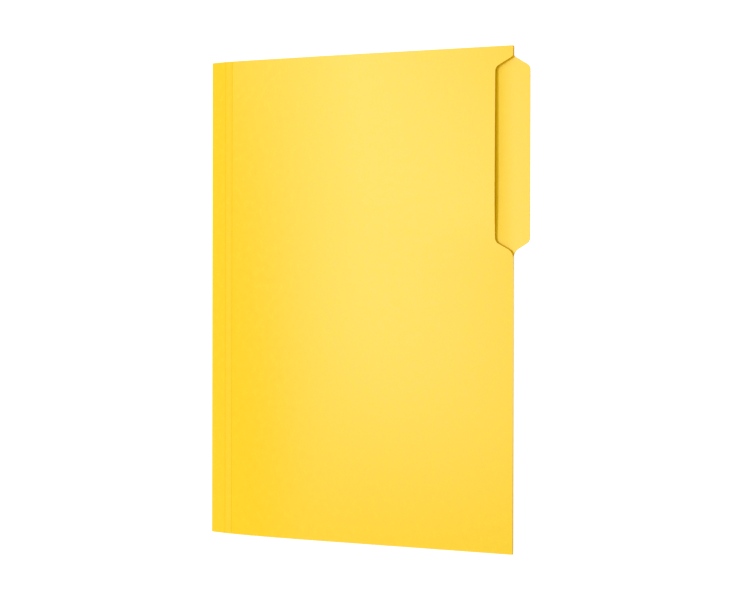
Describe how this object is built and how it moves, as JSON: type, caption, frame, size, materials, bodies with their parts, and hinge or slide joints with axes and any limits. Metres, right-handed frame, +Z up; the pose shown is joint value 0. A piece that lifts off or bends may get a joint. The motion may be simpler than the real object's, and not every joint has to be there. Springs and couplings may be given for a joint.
{
  "type": "file folder",
  "caption": "Letter-size card file folder, closed, with an index tab on its rear panel, a matching thumb cut in its cover and a scored gusset beside the spine fold that lets it expand.",
  "frame": {"origin": "middle of the closed folder's box, on the underside of the rear panel", "axes": "+X from the spine fold to the index tab, +Y along the spine towards the tab's end, +Z up through the cover"},
  "size_m": [0.2396, 0.2986, 0.0069],
  "materials": {
    "card": "uncoated satin"
  },
  "bodies": {
    "rear": {"rear_panel": "card"},
    "fold": {"spine_fold": "card"},
    "inner_strip": {"inner_gusset_strip": "card"},
    "outer_strip": {"outer_gusset_strip": "card"},
    "cover": {"front_panel": "card"}
  },
  "joints": [
    {"name": "cover_opening", "type": "hinge", "parent": "rear", "child": "fold", "pos_m": [-0.11975, 0, 0.0008], "axis": [0, -1, 0], "range_deg": [0, 167.89]},
    {"name": "gusset_closing", "type": "hinge", "parent": "fold", "child": "inner_strip", "pos_m": [-0.11912, 0, 0.00158], "axis": [0, 1, 0], "range_deg": [-77.89, 0]},
    {"name": "inner_score", "type": "hinge", "parent": "inner_strip", "child": "outer_strip", "pos_m": [-0.10636, 0, 0.00401], "axis": [0, -1, 0], "range_deg": [-38.95, 0]},
    {"name": "outer_score", "type": "hinge", "parent": "outer_strip", "child": "cover", "pos_m": [-0.10043, 0, 0.0048], "axis": [0, -1, 0], "range_deg": [-38.95, 0]}
  ],
  "couplings": [
    {"joint": "inner_score", "follows": "gusset_closing", "ratio": 0.5},
    {"joint": "outer_score", "follows": "gusset_closing", "ratio": 0.5}
  ]
}
